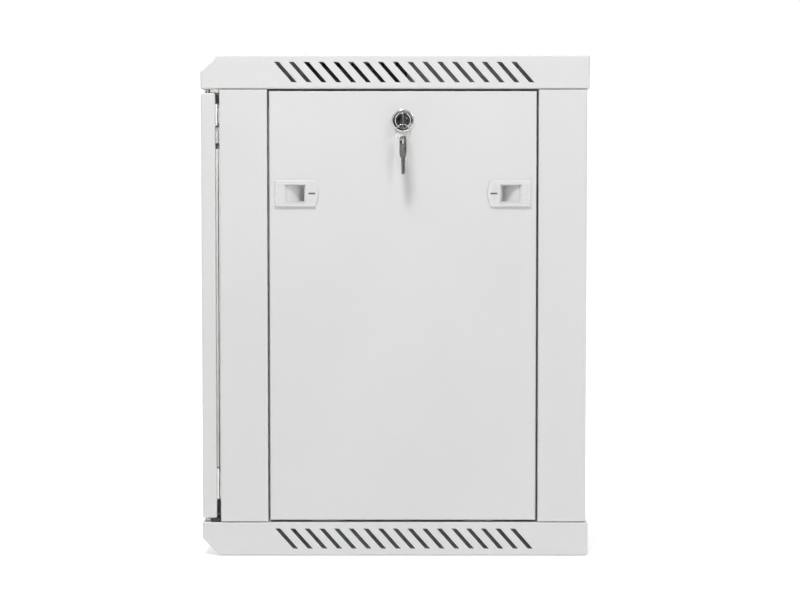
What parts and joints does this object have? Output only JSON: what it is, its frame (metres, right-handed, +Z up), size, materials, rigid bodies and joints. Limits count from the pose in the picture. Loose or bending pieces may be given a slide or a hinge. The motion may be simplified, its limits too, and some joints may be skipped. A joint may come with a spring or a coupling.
{
  "type": "wall-mount network rack cabinet",
  "caption": "Wall-mount 19-inch rack cabinet with a hinged glass door, lift-off side panels on slide latches and cam locks, punched rails, vents and a key with ring and spare.",
  "frame": {"origin": "centre of the cabinet body's underside, where it rests", "axes": "+Z up, +Y towards the wall behind the cabinet, -Y out of the front door, +X to the right seen from the front"},
  "size_m": [0.5702, 0.3918, 0.5066],
  "materials": {
    "case_paint": "light grey powder coat, fine texture, half matt",
    "rail_zinc": "zinc plated, dull",
    "screw_zinc": "bright zinc plated",
    "black_rubber": "matt",
    "hinge_nylon": "smooth nylon",
    "door_glazing": "clear toughened glass, faint grey tint",
    "lock_chrome": "polished chrome plate",
    "lock_core": "dark nickel",
    "latch_plastic": "light grey moulded, fine spark texture",
    "key_nickel": "nickel plate, rubbed"
  },
  "bodies": {
    "cabinet": {"top_cover": "case_paint", "top_inner_frame": "case_paint", "bottom_cover": "case_paint", "bottom_inner_frame": "case_paint", "front_upright_right": "case_paint", "front_upright_left": "case_paint", "rear_upright_right": "case_paint", "rear_upright_left": "case_paint", "back_panel": "case_paint", "roof_entry_plate": "case_paint", "wall_fixings": "case_paint", "bracket_low_right": "rail_zinc", "bracket_high_right": "rail_zinc", "bracket_low_left": "rail_zinc", "bracket_high_left": "rail_zinc", "front_rail_right": "rail_zinc", "front_rail_left": "rail_zinc", "rear_rail_right": "rail_zinc", "rear_rail_left": "rail_zinc", "frame_screws": "screw_zinc", "rail_screws": "screw_zinc", "cage_nuts": "screw_zinc", "entry_plate_screws": "screw_zinc", "earth_stud": "screw_zinc", "floor_entry_trim": "black_rubber", "door_buffers": "black_rubber", "hinge_bushes": "hinge_nylon"},
    "door": {"door_frame": "case_paint", "door_glass": "door_glazing", "glass_seal": "black_rubber", "glass_clips": "screw_zinc", "hinge_pins": "screw_zinc", "door_lock_nut": "screw_zinc", "door_lock_body": "lock_chrome"},
    "door_lock": {"door_lock_core": "lock_core", "door_lock_cam": "screw_zinc", "door_lock_screw": "screw_zinc"},
    "right_panel": {"right_panel": "case_paint", "right_guide_front": "latch_plastic", "right_guide_rear": "latch_plastic", "right_lock_body": "lock_chrome", "right_lock_nut": "screw_zinc"},
    "right_lock": {"right_lock_core": "lock_core", "right_lock_cam": "screw_zinc", "right_lock_screw": "screw_zinc"},
    "right_latch_front": {"right_slider_front": "latch_plastic"},
    "right_latch_rear": {"right_slider_rear": "latch_plastic"},
    "left_panel": {"left_panel": "case_paint", "left_guide_front": "latch_plastic", "left_guide_rear": "latch_plastic", "left_lock_body": "lock_chrome", "left_lock_nut": "screw_zinc"},
    "left_lock": {"left_lock_core": "lock_core", "left_lock_cam": "screw_zinc", "left_lock_screw": "screw_zinc"},
    "left_latch_front": {"left_slider_front": "latch_plastic"},
    "left_latch_rear": {"left_slider_rear": "latch_plastic"},
    "key": {"key": "key_nickel"},
    "key_ring": {"key_ring": "key_nickel"},
    "spare_key": {"spare_key": "key_nickel"}
  },
  "joints": [
    {"name": "door_swing", "type": "hinge", "parent": "cabinet", "child": "door", "pos_m": [0.262, -0.1883, 0.2525], "axis": [0, 0, 1], "range_deg": [0, 180]},
    {"name": "door_lock_turn", "type": "hinge", "parent": "door", "child": "door_lock", "pos_m": [-0.23, -0.1946, 0.2525], "axis": [0, 1, 0], "range_deg": [0, 90]},
    {"name": "right_panel_tilt", "type": "hinge", "parent": "cabinet", "child": "right_panel", "pos_m": [0.27, 0.0078, 0.0364], "axis": [0, 1, 0], "range_deg": [0, 25]},
    {"name": "right_lock_turn", "type": "hinge", "parent": "right_panel", "child": "right_lock", "pos_m": [0.27, 0.0078, 0.4394], "axis": [1, 0, 0], "range_deg": [0, 90]},
    {"name": "right_latch_front_slide", "type": "slide", "parent": "right_panel", "child": "right_latch_front", "axis": [0, -1, 0], "range_m": [0, 0.0045]},
    {"name": "right_latch_rear_slide", "type": "slide", "parent": "right_panel", "child": "right_latch_rear", "axis": [0, 1, 0], "range_m": [0, 0.0045]},
    {"name": "left_panel_tilt", "type": "hinge", "parent": "cabinet", "child": "left_panel", "pos_m": [-0.27, 0.0078, 0.0364], "axis": [0, -1, 0], "range_deg": [0, 25]},
    {"name": "left_lock_turn", "type": "hinge", "parent": "left_panel", "child": "left_lock", "pos_m": [-0.27, 0.0078, 0.4394], "axis": [1, 0, 0], "range_deg": [0, 90]},
    {"name": "left_latch_front_slide", "type": "slide", "parent": "left_panel", "child": "left_latch_front", "axis": [0, -1, 0], "range_m": [0, 0.0045]},
    {"name": "left_latch_rear_slide", "type": "slide", "parent": "left_panel", "child": "left_latch_rear", "axis": [0, 1, 0], "range_m": [0, 0.0045]},
    {"name": "key_pull", "type": "slide", "parent": "right_lock", "child": "key", "axis": [1, 0, 0], "range_m": [0, 0.022]},
    {"name": "key_ring_hang", "type": "hinge", "parent": "key", "child": "key_ring", "pos_m": [0.289, 0.0078, 0.4319], "axis": [1, 0, 0], "range_deg": [-90, 0]},
    {"name": "spare_key_swing", "type": "hinge", "parent": "key_ring", "child": "spare_key", "pos_m": [0.289, 0.0078, 0.4196], "axis": [0, -1, 0], "range_deg": [-12, 60]}
  ],
  "couplings": [
    {"joint": "key_ring_hang", "follows": "right_lock_turn", "ratio": -1}
  ]
}
